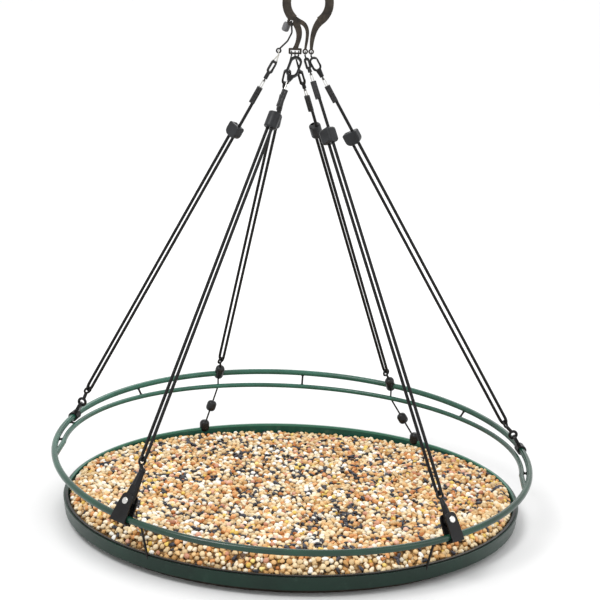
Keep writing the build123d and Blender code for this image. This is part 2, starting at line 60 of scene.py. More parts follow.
class Shader:
    """A Principled material in object coordinates, with short calls for its nodes."""

    def __init__(self, name, metallic=0.0, specular=0.5):
        self.material = bpy.data.materials.new(name)
        self.material.use_nodes = True
        self.nodes = self.material.node_tree.nodes
        self.links = self.material.node_tree.links
        self.bsdf = self.nodes["Principled BSDF"]
        self.bsdf.inputs["Metallic"].default_value = metallic
        self.bsdf.inputs["Specular IOR Level"].default_value = specular
        self.place = self.nodes.new("ShaderNodeTexCoord").outputs["Object"]

    def put(self, value, socket):
        """Joins an output to a socket, or sets the socket to a hex colour or a number."""
        if isinstance(value, bpy.types.NodeSocket):
            self.links.new(value, socket)
        else:
            socket.default_value = linear(value) if isinstance(value, str) else value

    def noise(self, scale, detail=3.0, roughness=0.55, place=None, distortion=0.0):
        node = self.nodes.new("ShaderNodeTexNoise")
        self.links.new(place or self.place, node.inputs["Vector"])
        node.inputs["Scale"].default_value = scale
        node.inputs["Detail"].default_value = detail
        node.inputs["Roughness"].default_value = roughness
        node.inputs["Distortion"].default_value = distortion
        return node.outputs["Fac"]

    def cells(self, scale, feature="F1"):
        node = self.nodes.new("ShaderNodeTexVoronoi")
        node.feature = feature
        self.links.new(self.place, node.inputs["Vector"])
        node.inputs["Scale"].default_value = scale
        return node.outputs["Distance"]

    def axes(self):
        """Object coordinates as separate X, Y and Z values."""
        node = self.nodes.new("ShaderNodeSeparateXYZ")
        self.links.new(self.place, node.inputs[0])
        return node.outputs

    def stretched(self, axis_scale):
        """Object coordinates scaled along each axis, for grain that runs one way."""
        node = self.nodes.new("ShaderNodeVectorMath")
        node.operation = "MULTIPLY"
        self.links.new(self.place, node.inputs[0])
        node.inputs[1].default_value = axis_scale
        return node.outputs["Vector"]

    def along(self, direction, repeat):
        """Distance along a direction, times repeat."""
        node = self.nodes.new("ShaderNodeVectorMath")
        node.operation = "DOT_PRODUCT"
        self.links.new(self.place, node.inputs[0])
        node.inputs[1].default_value = [d * repeat for d in direction]
        return node.outputs["Value"]

    def ramp(self, fac, stops):
        """Colours along a value. stops: (position, hex colour)."""
        node = self.nodes.new("ShaderNodeValToRGB")
        elements = node.color_ramp.elements
        while len(elements) < len(stops):
            elements.new(0.5)
        for element, (position, colour) in zip(elements, stops):
            element.position = position
            element.color = linear(colour)
        self.links.new(fac, node.inputs["Fac"])
        return node.outputs["Color"]

    def mix(self, fac, first, second):
        node = self.nodes.new("ShaderNodeMix")
        node.data_type = "RGBA"
        colour_a, colour_b = node.inputs[6], node.inputs[7]
        self.links.new(fac, node.inputs[0])
        self.put(first, colour_a)
        self.put(second, colour_b)
        return node.outputs[2]

    def tint(self, base, mask, amount, colour):
        """Lays a colour over base where mask is high, at most this much of it."""
        return self.mix(self.math("MULTIPLY", mask, amount), base, colour)

    def math(self, operation, first, second=0.0, third=0.0):
        node = self.nodes.new("ShaderNodeMath")
        node.operation = operation
        for value, socket in zip((first, second, third), node.inputs):
            self.put(value, socket)
        return node.outputs[0]

    def spread(self, fac, low, high, to_low=0.0, to_high=1.0):
        """Stretches a value's range low..high onto to_low..to_high, clamped."""
        node = self.nodes.new("ShaderNodeMapRange")
        self.links.new(fac, node.inputs["Value"])
        for key, value in (("From Min", low), ("From Max", high), ("To Min", to_low),
                           ("To Max", to_high)):
            node.inputs[key].default_value = value
        return node.outputs["Result"]

    def island(self):
        return self.nodes.new("ShaderNodeNewGeometry").outputs["Random Per Island"]

    def edges(self, radius):
        """1 on worn edges, 0 on flat faces, and the rounded normal that finds them."""
        edge_dot, flat_dot = 0.86, 0.995
        bevel = self.nodes.new("ShaderNodeBevel")
        bevel.samples = 4
        bevel.inputs["Radius"].default_value = radius
        geometry = self.nodes.new("ShaderNodeNewGeometry")
        dot = self.nodes.new("ShaderNodeVectorMath")
        dot.operation = "DOT_PRODUCT"
        self.links.new(bevel.outputs["Normal"], dot.inputs[0])
        self.links.new(geometry.outputs["Normal"], dot.inputs[1])
        worn = self.spread(dot.outputs["Value"], edge_dot, flat_dot, 1.0, 0.0)
        return worn, bevel.outputs["Normal"]

    def bump(self, height, distance, strength=1.0, normal=None):
        node = self.nodes.new("ShaderNodeBump")
        node.inputs["Strength"].default_value = strength
        node.inputs["Distance"].default_value = distance
        self.links.new(height, node.inputs["Height"])
        if normal is not None:
            self.links.new(normal, node.inputs["Normal"])
        return node.outputs["Normal"]

    def finish(self, colour, roughness, normal):
        self.links.new(colour, self.bsdf.inputs["Base Color"])
        self.put(roughness, self.bsdf.inputs["Roughness"])
        self.links.new(normal, self.bsdf.inputs["Normal"])
        return self.material


# ---------------------------------------------------------------- materials
def forged_iron():
    s = Shader("forged_iron", metallic=0.35, specular=0.3)
    worn, rounded = s.edges(0.0006)
    mottle = s.noise(140, 5, 0.65)
    rust = s.spread(s.noise(55, 4, 0.6, distortion=0.4), 0.56, 0.72)
    base = s.ramp(mottle, [(0.3, "1F1B19"), (0.55, "363029"), (0.8, "4C443F")])
    base = s.tint(base, rust, 0.45, "56463A")
    base = s.tint(base, worn, s.spread(mottle, 0.35, 0.6), "77695D")
    hammer = s.cells(210, "SMOOTH_F1")
    dents = s.bump(hammer, 0.0007, 0.55, rounded)
    normal = s.bump(s.noise(900, 3, 0.6), 0.00018, 0.5, dents)
    return s.finish(base, s.spread(mottle, 0.3, 0.75, 0.38, 0.62), normal)


def chipped(s, worn, dark, light, wear, amount):
    """A blotched coat between two shades, chipped to its wear colour along the edges."""
    base = s.ramp(s.noise(45, 4, 0.6), [(0.3, dark), (0.7, light)])
    chips = s.spread(s.noise(420, 4, 0.7), 0.5, 0.62)
    return s.tint(base, worn, s.math("MULTIPLY", chips, amount), wear)


def coated(name, dark, light, wear, metallic=0.0, rough=(0.28, 0.42), edge=0.0004):
    """Powder coat: fine orange peel, faint blotches, and thin bright wear on its edges."""
    s = Shader(name, metallic=metallic, specular=0.3)
    worn, rounded = s.edges(edge)
    base = chipped(s, worn, dark, light, wear, 0.75)
    peel = s.bump(s.noise(900, 2, 0.5), 0.00009, 0.55, rounded)
    return s.finish(base, s.spread(s.noise(160, 3), 0.3, 0.7, *rough), peel)


def green_rail():
    """Green coat, deep at the front, with painted sheen making it paler and bluer towards the back
    and left.
    """
    s = Shader("green_rail", specular=0.5)
    split = s.axes()
    # Painted sheen: the mask below lays a paler, bluer green on the back and left of the hoop.
    back = s.math("MULTIPLY_ADD", split["X"], -0.45, split["Y"])
    pale = s.spread(back, -0.10, 0.26)
    blotch = s.noise(38, 4, 0.6)
    deep = s.ramp(blotch, [(0.3, "082A1F"), (0.7, "0F3C2B")])
    painted_sheen_green = s.ramp(blotch, [(0.3, "1C5341"), (0.7, "2D6A58")])
    base = s.tint(deep, pale, 0.85, painted_sheen_green)
    scratches = s.spread(s.noise(60, 5, 0.7, s.stretched((9, 9, 40))), 0.66, 0.74)
    base = s.tint(base, scratches, 0.35, "8FB8A8")
    peel = s.bump(s.noise(750, 2, 0.5), 0.0001, 0.5)
    return s.finish(base, s.spread(s.noise(120, 3), 0.3, 0.7, 0.2, 0.32), peel)


def green_band():
    """The tray's rolled band: dark green with faint drawn lines and dusty scuffs."""
    s = Shader("green_band", specular=0.3)
    lines = s.noise(70, 3, 0.6, s.stretched((1, 1, 26)))
    blotch = s.noise(22, 4, 0.6)
    base = s.ramp(blotch, [(0.3, "0A1F17"), (0.7, "0F2D22")])
    dust = s.spread(s.noise(90, 5, 0.7), 0.58, 0.8)
    base = s.tint(base, dust, 0.18, "4A5E55")
    peel = s.bump(s.math("ADD", s.noise(700, 2), s.math("MULTIPLY", lines, 0.6)), 0.0001, 0.5)
    return s.finish(base, s.spread(lines, 0.3, 0.7, 0.28, 0.42), peel)


def brown_foot():
    s = Shader("brown_foot")
    fibre = s.noise(60, 5, 0.65, s.stretched((1, 1, 12)))
    base = s.ramp(fibre, [(0.3, "231B16"), (0.7, "41342B")])
    dust = s.spread(s.noise(200, 4, 0.7), 0.55, 0.75)
    base = s.tint(base, dust, 0.3, "6F6054")
    normal = s.bump(s.noise(800, 3, 0.6), 0.00012, 0.6)
    return s.finish(base, s.spread(fibre, 0.3, 0.7, 0.5, 0.7), normal)


def lipped_pan():
    """The pan: green walls, with painted shadow making its lip black at the front and a painted
    highlight making it pale green at the back.
    """
    s = Shader("black_pan", specular=0.3)
    split = s.axes()
    ragged = s.math("MULTIPLY_ADD", s.noise(160, 4, 0.6), 0.0006, split["Z"])
    lip = s.spread(ragged, RIM_Z - 0.0009, RIM_Z - 0.0005)
    green = s.ramp(s.noise(30, 4, 0.6), [(0.3, "133F32"), (0.7, "1D5243")])
    # Painted shadow: the black that the lip gets at the front, where the gap between seed and band
    # lies in shade.
    black = s.ramp(s.noise(220, 4, 0.6), [(0.3, "0B0C0B"), (0.7, "1A1C1B")])
    behind = s.spread(split["Y"], -0.03, 0.04)
    # The lip's colour: black painted shadow at the front, a pale green painted highlight at the
    # back.
    black = s.mix(behind, black, s.mix(lip, green, "3E7462"))
    dust = s.spread(s.noise(120, 5, 0.7), 0.55, 0.8)
    base = s.tint(s.mix(lip, green, black), dust, 0.25, "7A7565")
    peel = s.bump(s.noise(700, 2, 0.5), 0.0001, 0.5)
    return s.finish(base, s.spread(s.noise(150, 3), 0.3, 0.7, 0.34, 0.5), peel)


def bright_steel():
    s = Shader("bright_steel", metallic=1.0)
    worn, rounded = s.edges(0.0002)
    grain = s.noise(900, 3, 0.6, s.stretched((1, 1, 0.15)))
    base = s.ramp(grain, [(0.3, "B9B9B6"), (0.7, "E4E3DF")])
    smudge = s.spread(s.noise(300, 4, 0.6), 0.5, 0.7)
    base = s.tint(base, smudge, 0.35, "94928C")
    return s.finish(base, s.spread(smudge, 0, 1, 0.16, 0.36), s.bump(grain, 0.00003, 0.4, rounded))


def black_cord():
    """Braided polyester: each strand is a shade apart, with a soft sheen."""
    s = Shader("black_cord", specular=0.22)
    fibre = s.noise(2600, 3, 0.7)
    base = s.ramp(s.noise(260, 3, 0.6), [(0.3, "080808"), (0.7, "121213")])
    base = s.mix(s.spread(fibre, 0.5, 0.8, 0.0, 0.35), base, "2C2C2E")
    return s.finish(base, s.spread(fibre, 0.3, 0.7, 0.42, 0.62), s.bump(fibre, 0.00008, 0.6))


def slider_plastic():
    s = Shader("slider_plastic", specular=0.3)
    worn, rounded = s.edges(0.0005)
    base = s.ramp(s.noise(80, 3), [(0.3, "141517"), (0.7, "222427")])
    base = s.tint(base, worn, 0.25, "4A4D52")
    texture = s.bump(s.cells(1700), 0.00007, 0.5, rounded)
    return s.finish(base, s.spread(s.noise(200, 3), 0.3, 0.7, 0.34, 0.48), texture)


def grey_rubber():
    s = Shader("grey_rubber")
    worn, rounded = s.edges(0.0006)
    base = s.ramp(s.noise(260, 4, 0.6), [(0.3, "4B4B4D"), (0.7, "6C6C6D")])
    base = s.tint(base, worn, 0.4, "8B8B8A")
    return s.finish(base, 0.55, s.bump(s.noise(1500, 2), 0.00008, 0.5, rounded))


def bright_necked(down, neck_end):
    """Black hardware whose neck is bare bright wire.

    The bright part ends at neck_end, measured along the tether from the loop's centre.
    """
    s = Shader("black_hardware_left", specular=0.3)
    worn, rounded = s.edges(0.0003)
    bare = s.spread(s.along(down, 1.0), neck_end - 0.0006, neck_end, 1.0, 0.0)
    base = chipped(s, worn, "0D0D0E", "1C1C1D", "6E6B68", 0.7)
    steel = s.ramp(s.noise(900, 3, 0.6), [(0.3, "A9A8A2"), (0.7, "DAD8D0")])
    s.links.new(bare, s.bsdf.inputs["Metallic"])
    peel = s.bump(s.noise(900, 2, 0.5), 0.00009, 0.55, rounded)
    roughness = s.spread(s.noise(160, 3), 0.3, 0.7, 0.24, 0.4)
    return s.finish(s.mix(bare, base, steel), roughness, peel)


def black_sleeve(name, down):
    """Crimped sleeve: press marks repeat along the tether."""
    s = Shader(f"black_sleeve_{name}", metallic=0.35)
    worn, rounded = s.edges(0.0004)
    marks = s.math("SINE", s.along(down, 2 * pi / 0.0036))
    marks = s.spread(marks, 0.2, 0.9)
    base = s.ramp(s.noise(240, 4, 0.6), [(0.3, "111112"), (0.7, "252526")])
    base = s.tint(base, worn, 0.45, "6A6866")
    normal = s.bump(marks, 0.00035, 0.8, rounded)
    return s.finish(base, s.spread(s.noise(500, 3), 0.3, 0.7, 0.3, 0.5), normal)


def seed_shell(name, dark, middle, light, rough=0.5, speckle=None, gloss=0.35):
    """One kind of grain: each grain has its own shade, with a dull freckled skin."""
    s = Shader(name, specular=gloss)
    shade = s.ramp(s.island(), [(0.0, dark), (0.5, middle), (1.0, light)])
    freckle = s.spread(s.noise(900, 3, 0.6), 0.52, 0.72)
    base = s.tint(shade, freckle, 0.35, dark)
    if speckle:
        stripe = s.spread(s.noise(700, 2, 0.5, s.stretched((1, 3, 1))), 0.55, 0.62)
        base = s.tint(base, stripe, 0.6, speckle)
    normal = s.bump(s.noise(1300, 3, 0.6), 0.00015, 0.5)
    return s.finish(base, rough, normal)


SEED_SKINS = {
    "cream": seed_shell("seed_cream", "CBAC7D", "E8D1A6", "F7EAD0"),
    "golden": seed_shell("seed_golden", "B5854A", "D9AE74", "EAC791"),
    "orange": seed_shell("seed_orange", "B06B35", "D39257", "E5AE74"),
    "white": seed_shell("seed_white", "DDD6C4", "F4F0E4", "FDFBF6"),
    "terracotta": seed_shell("seed_terracotta", "B4785A", "D49C80", "E6BCA4"),
    "yellow": seed_shell("seed_yellow", "CDA648", "E8C868", "F2DC8E"),
    "black": seed_shell("seed_black", "16161A", "292930", "3F3F48", 0.45, "5C5C66", 0.4),
    "brown": seed_shell("seed_brown", "4A3524", "6B4E36", "86674B"),
}


# ---------------------------------------------------------------- seed
SEED_R = 0.2153  # where the heap meets the pan's wall
EDGE_DROP = 0.0005  # how far below the rim the heap starts
SHOULDER = 0.75  # how steeply it rises from its edge
TOP = 0.006  # its top's height above the rim, midway
FALL = tan(radians(3.3))  # its top falls this much towards the back
SWELL = 0.0012  # gentle waves over its top


def heap_height(x, y):
    """Height of the heap's surface at a point."""
    shoulder = -EDGE_DROP + SHOULDER * (SEED_R - sqrt(x * x + y * y))
    lie = TOP - FALL * y
    lie += SWELL * noise.noise(Vector((x * 16, y * 16, 3.1)))
    return RIM_Z + min(shoulder, lie)


def heap_normal(x, y):
    """Which way the heap's surface faces at a point."""
    step = 0.002
    slope_x = (heap_height(x + step, y) - heap_height(x - step, y)) / (2 * step)
    slope_y = (heap_height(x, y + step) - heap_height(x, y - step)) / (2 * step)
    return Vector((-slope_x, -slope_y, 1)).normalized()


def scatter(rng, gap, edge, tries):
    """Points over the heap, no two closer than gap, denser where the heap is steep."""
    cell = gap / sqrt(2)  # so a cell holds about one point
    taken = {}
    found = []
    for _ in range(tries):
        radius = edge * sqrt(rng.random())
        turn = 2 * pi * rng.random()
        x, y = radius * cos(turn), radius * sin(turn)
        z = heap_height(x, y)
        key = (int(x // cell), int(y // cell))
        near = (p for i in range(-2, 3) for j in range(-2, 3)
                for p in taken.get((key[0] + i, key[1] + j), ()))
        if all((x - a) ** 2 + (y - b) ** 2 + (z - c) ** 2 > gap * gap for a, b, c in near):
            taken.setdefault(key, []).append((x, y, z))
            found.append((x, y, z))
    return found


def icosphere(subdivisions):
    """Points and triangles of a unit ball."""
    bm = bmesh.new()
    bmesh.ops.create_icosphere(bm, subdivisions=subdivisions, radius=1.0)
    points = np.array([v.co[:] for v in bm.verts])
    faces = np.array([[v.index for v in f.verts] for f in bm.faces])
    bm.free()
    return points, faces


VARIANTS = 6
CHUNK_CUTS = ((1, 0.2, 0.3), (-0.4, 1, 0.2), (0.2, -0.6, 1), (-0.8, -0.5, -0.6))
CHUNK_FLAT = 0.55  # how far from the middle each flat is cut


def grain_shapes(rng, kind, subdivisions):
    """The variants of one kind of grain, as unit-sized points and faces."""
    points, faces = icosphere(subdivisions)
    variants = []
    for _ in range(VARIANTS):
        shape = points.copy()
        offset = Vector((rng.random() * 9, rng.random() * 9, rng.random() * 9))
        for row in shape:
            direction = Vector(row)
            bulge = noise.noise(direction * 1.1 + offset)
            if kind == "round":  # a squashed ball with a blunt tip and a dimple
                row *= 1 + 0.13 * bulge
                row[2] *= 0.9
                if row[0] > 0.75:
                    row[0] *= 1.12
                if row[2] > 0.6:
                    row[2] -= 0.28 * (row[2] - 0.6) * (1 - abs(row[1]))
            elif kind == "oval":  # a flat oval with a crease along it
                row *= 1 + 0.08 * bulge
                row *= (1.38, 0.8, 0.72)
                row[1] *= 1 - 0.18 * row[0]
                if row[2] > 0.35:
                    row[2] -= 0.35 * max(0.0, 0.35 - abs(row[1]))
            elif kind == "chunk":  # a ball with four flats cut off it
                for axis in CHUNK_CUTS:
                    cut = Vector(axis).normalized()
                    reach = direction.dot(cut)
                    if reach > CHUNK_FLAT:
                        row -= np.array(cut[:]) * (reach - CHUNK_FLAT)
                row *= 1.12 + 0.25 * bulge
                row *= (1.15, 0.95, 0.85)
            else:  # a flat drop, narrower at one end
                row *= (1.35, 0.85, 0.6)
                row[1] *= 0.75 - 0.35 * row[0]
                row[2] *= 0.9 - 0.2 * row[0]
                row *= 1 + 0.06 * bulge
        variants.append(shape)
    return variants, faces


def merge_grains(name, grains, shapes, faces, skins):
    """One mesh of many small forms. grains: (place, matrix, variant, skin index)."""
    count = len(grains)
    points = np.concatenate([
        shapes[variant] @ np.array(matrix).T + np.array(place)
        for place, matrix, variant, _ in grains
    ])
    per = len(shapes[0])
    index = np.concatenate([faces + i * per for i in range(count)])
    mesh = bpy.data.meshes.new(name)
    mesh.vertices.add(len(points))
    mesh.vertices.foreach_set("co", points.ravel())
    mesh.loops.add(index.size)
    mesh.loops.foreach_set("vertex_index", index.ravel())
    mesh.polygons.add(len(index))
    mesh.polygons.foreach_set("loop_start", np.arange(0, index.size, 3))
    mesh.polygons.foreach_set("loop_total", np.full(len(index), 3))
    mesh.polygons.foreach_set("use_smooth", np.ones(len(index), bool))
    for skin in skins:
        mesh.materials.append(skin)
    mesh.polygons.foreach_set(
        "material_index", np.repeat([skin for *_, skin in grains], len(faces)))
    mesh.update()
    mesh.validate()
    piece = bpy.data.objects.new(name, mesh)
    scene.collection.objects.link(piece)
    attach(piece, "feeder")
    return piece


def smooth_piece(name, points, faces, material):
    """A smooth-shaded object made from points and faces."""
    mesh = bpy.data.meshes.new(name)
    mesh.from_pydata(points, [], faces)
    mesh.polygons.foreach_set("use_smooth", np.ones(len(faces), bool))
    mesh.materials.append(material)
    piece = bpy.data.objects.new(name, mesh)
    scene.collection.objects.link(piece)
    return piece


def pick(rng, table):
    """A key of table, drawn by its weights."""
    roll = rng.random() * sum(table.values())
    for key, weight in table.items():
        roll -= weight
        if roll <= 0:
            return key
    return key


SKIN_NAMES = list(SEED_SKINS)
# kind: how often each skin turns up on it
KIND_SKINS = {
    "round": {"cream": 46, "golden": 22, "orange": 9, "white": 14, "terracotta": 6, "yellow": 3},
    "oval": {"cream": 44, "golden": 22, "white": 22, "brown": 3, "orange": 9},
    "chunk": {"cream": 38, "golden": 24, "orange": 15, "white": 17, "yellow": 6},
    "drop": {"black": 100},
}
KIND_SHARES = {"round": 62, "oval": 16, "chunk": 22}
# kind: smallest and largest radius in mm
KIND_SIZES = {"round": (2.0, 2.7), "oval": (2.0, 2.6), "chunk": (2.05, 2.7), "drop": (2.2, 2.8)}
EDGE_RING = 0.012  # the heap's plainer outermost ring


def kind_at(rng, x, y):
    """Which kind of grain lies here.

    The dark seed lies in loose clusters away from the edge, with more of it at the back.
    """
    inside = 1 - (x * x + y * y) / (SEED_R * SEED_R)
    cluster = noise.noise(Vector((x * 26, y * 26, 0.7)))
    cluster += 0.5 * noise.noise(Vector((x * 70, y * 70, 5)))
    scattered = 0.045 + 0.075 * min(1.0, 4 * inside)
    clustered = 0.44 * max(0.0, cluster) * (0.35 + inside)
    behind = 0.2 * max(0.0, y)
    if rng.random() < scattered + (clustered + behind):
        return "drop"
    return pick(rng, KIND_SHARES)


def clustered_skin(rng, kind, x, y):
    """Skin of a grain: warm and pale patches, warmer at the right and the back; at the right the
    darker, warmer grains are painted shade.
    """
    table = dict(KIND_SKINS[kind])
    # Painted shade: the term on x gives the right side darker, warmer grains.
    warm = noise.noise(Vector((x * 34 + 7, y * 34, 2.2))) + 2.4 * max(0.0, x - 0.05)
    warm += 0.9 * max(0.0, y)
    for key in ("orange", "golden", "terracotta"):
        if key in table:
            table[key] *= max(0.25, 1 + 1.5 * warm)
    if "white" in table:
        table["white"] *= max(0.3, 1 - 1.8 * warm)
    if x * x + y * y > (SEED_R - EDGE_RING) ** 2:
        for key in ("orange", "white", "terracotta"):
            if key in table:
                table[key] *= 0.4
    return SKIN_NAMES.index(pick(rng, table))


# layer: gap between grains, lift off the heap's surface, tries, and tries when quick
LAYERS = {"under": (0.0040, -0.0034, 26000, 16000), "top": (0.0041, -0.0014, 52000, 26000)}
GRAIN_INSET = 0.0022  # the outermost grains' distance from the pan's wall
STIR = 0.0007  # how much a grain's height varies
TILT = 0.6  # how far a grain leans, in radians
FRONT_HALF_Y = -0.035  # round grains in front of this line are a piece of their own


def lay_seed():
    """The loose grains in two layers, merged into one piece per layer and kind."""
    rng = random.Random(11)
    shapes = {kind: grain_shapes(rng, kind, 2) for kind in KIND_SKINS}
    coarse = {kind: grain_shapes(rng, kind, 1) for kind in KIND_SKINS}
    batches = {}
    for label, (gap, lift, full_tries, quick_tries) in LAYERS.items():
        tries = full_tries
        for x, y, z in scatter(rng, gap, SEED_R - GRAIN_INSET, tries):
            kind = kind_at(rng, x, y)
            low, high = KIND_SIZES[kind]
            size = rng.uniform(low, high) * MM
            up = heap_normal(x, y)
            place = Vector((x, y, z)) + up * (lift + rng.uniform(-STIR, STIR))
            tip = Matrix.Rotation(rng.uniform(-TILT, TILT), 3, "X") @ Matrix.Rotation(
                rng.uniform(-TILT, TILT), 3, "Y")
            spin = Matrix.Rotation(rng.uniform(0, 2 * pi), 3, "Z")
            stand = up.to_track_quat("Z", "Y").to_matrix()
            matrix = stand @ tip @ spin * size
            half = "front" if y < FRONT_HALF_Y else "back"
            key = (label, kind, half if kind == "round" else "all")
            skin = clustered_skin(rng, kind, x, y)
            batches.setdefault(key, []).append((place, matrix, rng.randrange(VARIANTS), skin))
    for (label, kind, half), grains in sorted(batches.items()):
        variants, faces = (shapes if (label == "top") else coarse)[kind]
        piece = merge_grains(f"seed_{label}_{kind}_{half}", grains, variants, faces,
                             SEED_SKINS.values())
        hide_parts("seed_bed")


def seed_ground():
    """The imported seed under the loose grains: a lumpy heap that fills the pan."""
    rings, sectors = 54, 216
    edge = SEED_R - 0.0014
    sink, lowest, bottom = 0.0045, RIM_Z - 0.0085, RIM_Z - 0.0092
    points = [(0.0, 0.0, heap_height(0, 0) - sink)]
    for i in range(1, rings + 1):
        radius = edge * (i / rings) ** 0.9
        for j in range(sectors):
            turn = 2 * pi * j / sectors
            x, y = radius * cos(turn), radius * sin(turn)
            lump = 0.0006 * noise.noise(Vector((x * 300, y * 300, 0)))
            points.append((x, y, max(heap_height(x, y) - sink, lowest) + lump))
    for j in range(sectors):
        turn = 2 * pi * j / sectors
        points.append((edge * cos(turn), edge * sin(turn), bottom))
    points.append((0.0, 0.0, bottom))
    faces = [(0, 1 + j, 1 + (j + 1) % sectors) for j in range(sectors)]
    for i in range(rings):
        for j in range(sectors):
            a, b = 1 + i * sectors + j, 1 + i * sectors + (j + 1) % sectors
            faces.append((a, a + sectors, b + sectors, b))
    last = 1 + rings * sectors
    faces += [(last + (j + 1) % sectors, last + j, len(points) - 1) for j in range(sectors)]
    s = Shader("seed_crumbs", specular=0.3)
    grain = s.cells(330)
    # Painted shade: each cell is pale in its middle and darkens towards its edges, shade painted
    # into the gaps between the crumbs.
    base = s.ramp(grain, [(0.0, "C9A878"), (0.45, "96703F"), (0.8, "3A2B1C")])
    gap_shaded_crumbs = s.finish(base, 0.7, s.bump(grain, 0.001, 0.8))
    heap = smooth_piece("seed_heap", points, faces, gap_shaded_crumbs)
    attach(heap, "feeder")
    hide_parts("seed_bed")


# ---------------------------------------------------------------- cords
CORD_R = 0.0015
# name: the cord's length and its route, from the crimp to the ring, round it and up to the slider
CORDS = {
    "left": (0.6533, [
        (-0.04854, 0.00785, -0.09399), (-0.19782, 0.05434, -0.37817),
        (-0.205, 0.05658, -0.39184), (-0.20831, 0.06069, -0.38943),
        (-0.20113, 0.05845, -0.37576), (-0.06566, 0.01626, -0.11786)]),
    "front_left": (0.6790, [
        (-0.02244, -0.02144, -0.09353), (-0.12379, -0.14968, -0.37789),
        (-0.12861, -0.15578, -0.39142), (-0.13271, -0.1517, -0.3918),
        (-0.12789, -0.1456, -0.37828), (-0.03012, -0.02189, -0.10397)]),
    "rear_left": (0.6791, [
        (-0.02303, 0.03256, -0.10203), (-0.07688, 0.19538, -0.38218),
        (-0.07944, 0.20312, -0.39548), (-0.08349, 0.20632, -0.39284),
        (-0.08093, 0.19859, -0.37954), (-0.02912, 0.04197, -0.11005)]),
    "front_right": (0.7190, [
        (0.01335, -0.01745, -0.08476), (0.12614, -0.15747, -0.39573),
        (0.13104, -0.16355, -0.40923), (0.12765, -0.15984, -0.41213),
        (0.12275, -0.15376, -0.39862), (0.02064, -0.027, -0.1171)]),
    "right": (0.6942, [
        (0.02948, 0.00402, -0.08922), (0.20334, 0.0319, -0.38893),
        (0.21115, 0.03315, -0.40238), (0.20643, 0.03537, -0.40491),
        (0.19862, 0.03412, -0.39146), (0.04256, 0.0091, -0.12245)]),
    "rear_right": (0.6872, [
        (0.00727, 0.03035, -0.10121), (0.09605, 0.18724, -0.3866),
        (0.10015, 0.19449, -0.39979), (0.09619, 0.1986, -0.39876),
        (0.09209, 0.19135, -0.38557), (0.00923, 0.04492, -0.1192)]),
}


def route_line(name, points):
    """The points that a smooth spline through this route follows."""
    curve = bpy.data.curves.new(f"{name}_route", "CURVE")
    curve.dimensions = "3D"
    spline = curve.splines.new("NURBS")
    spline.points.add(len(points) - 1)
    for point, place in zip(spline.points, points):
        point.co = (*place, 1.0)
    spline.order_u = 3
    spline.use_endpoint_u = True
    spline.resolution_u = 48
    holder = bpy.data.objects.new(f"{name}_route", curve)
    mesh = bpy.data.meshes.new_from_object(holder)
    line = [v.co.copy() for v in mesh.vertices]
    bpy.data.objects.remove(holder)
    bpy.data.meshes.remove(mesh)
    return line


def evenly(line, step):
    """The same line with points an even distance apart."""
    far = [0.0]
    for a, b in zip(line, line[1:]):
        far.append(far[-1] + (b - a).length)
    count = int(far[-1] / step) + 1
    out = []
    k = 0
    for i in range(count + 1):
        want = far[-1] * i / count
        while k < len(far) - 2 and far[k + 1] < want:
            k += 1
        span = far[k + 1] - far[k]
        out.append(line[k].lerp(line[k + 1], (want - far[k]) / span if span else 0.0))
    return out


def braid(name, line):
    """A round braid along a line: strands cross over and under in two directions."""
    sides, strands, pitch = 20, 5, 0.0085
    middle, relief = 0.955, 0.045  # shares of the cord's radius
    normal = (line[1] - line[0]).orthogonal().normalized()
    points, faces = [], []
    travelled = 0.0
    for i, place in enumerate(line):
        ahead = line[min(i + 1, len(line) - 1)]
        behind = line[max(i - 1, 0)]
        run = (ahead - behind).normalized()
        normal = (normal - run * normal.dot(run)).normalized()
        side = run.cross(normal)
        travelled += (place - behind).length if i else 0.0
        for j in range(sides):
            turn = 2 * pi * j / sides
            lay = 2 * pi * travelled / pitch
            over = sin(strands * turn + strands * lay / 2)
            under = sin(strands * turn - strands * lay / 2)
            radius = CORD_R * (middle + relief * max(over, under))
            points.append(place + (normal * cos(turn) + side * sin(turn)) * radius)
    for i in range(len(line) - 1):
        for j in range(sides):
            a, b = i * sides + j, i * sides + (j + 1) % sides
            faces.append((a, b, b + sides, a + sides))
    last = (len(line) - 1) * sides
    faces.append(tuple(range(sides - 1, -1, -1)))
    faces.append(tuple(range(last, last + sides)))
    return smooth_piece(name, points, faces, CORD_SKIN)


def lay_cords():
    step = 0.0008
    for name, (length, points) in CORDS.items():
        line = evenly(route_line(name, points), step)
        piece = braid(f"{name}_braided_cord", line)
        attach(piece, "feeder")
        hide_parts(f"{name}_cord")


# ---------------------------------------------------------------- welds
# height above the rim, rise towards the back and the right in degrees, and radius
RAIL = (0.0417, 3.9, -1.2, 0.2286)
REAR = (0.0406, 0.8, -1.3, 0.2210)
STRUT_ANGLES = (-7.0, 38.0, 88.0, 137.0, 168.5, 181.0)
STAY_ANGLES = (236.0, 303.0)
RAIL_SURFACE, REAR_SURFACE = 0.0029, 0.0023  # from a wire's middle to just under its skin
WELD_RADII = (0.0016, 0.0016, 0.0011)


def ring_point(ring, angle):
    """The point at this angle on a tilted ring's wire."""
    height, back_up, right_up, radius = ring
    across = Vector((1, 0, sin(radians(right_up)))).normalized()
    normal = Vector((-sin(radians(right_up)), -sin(radians(back_up)), 1)).normalized()
    turn = radians(angle)
    centre = Vector((0, 0, RIM_Z + height))
    return centre + (across * cos(turn) + normal.cross(across) * sin(turn)) * radius


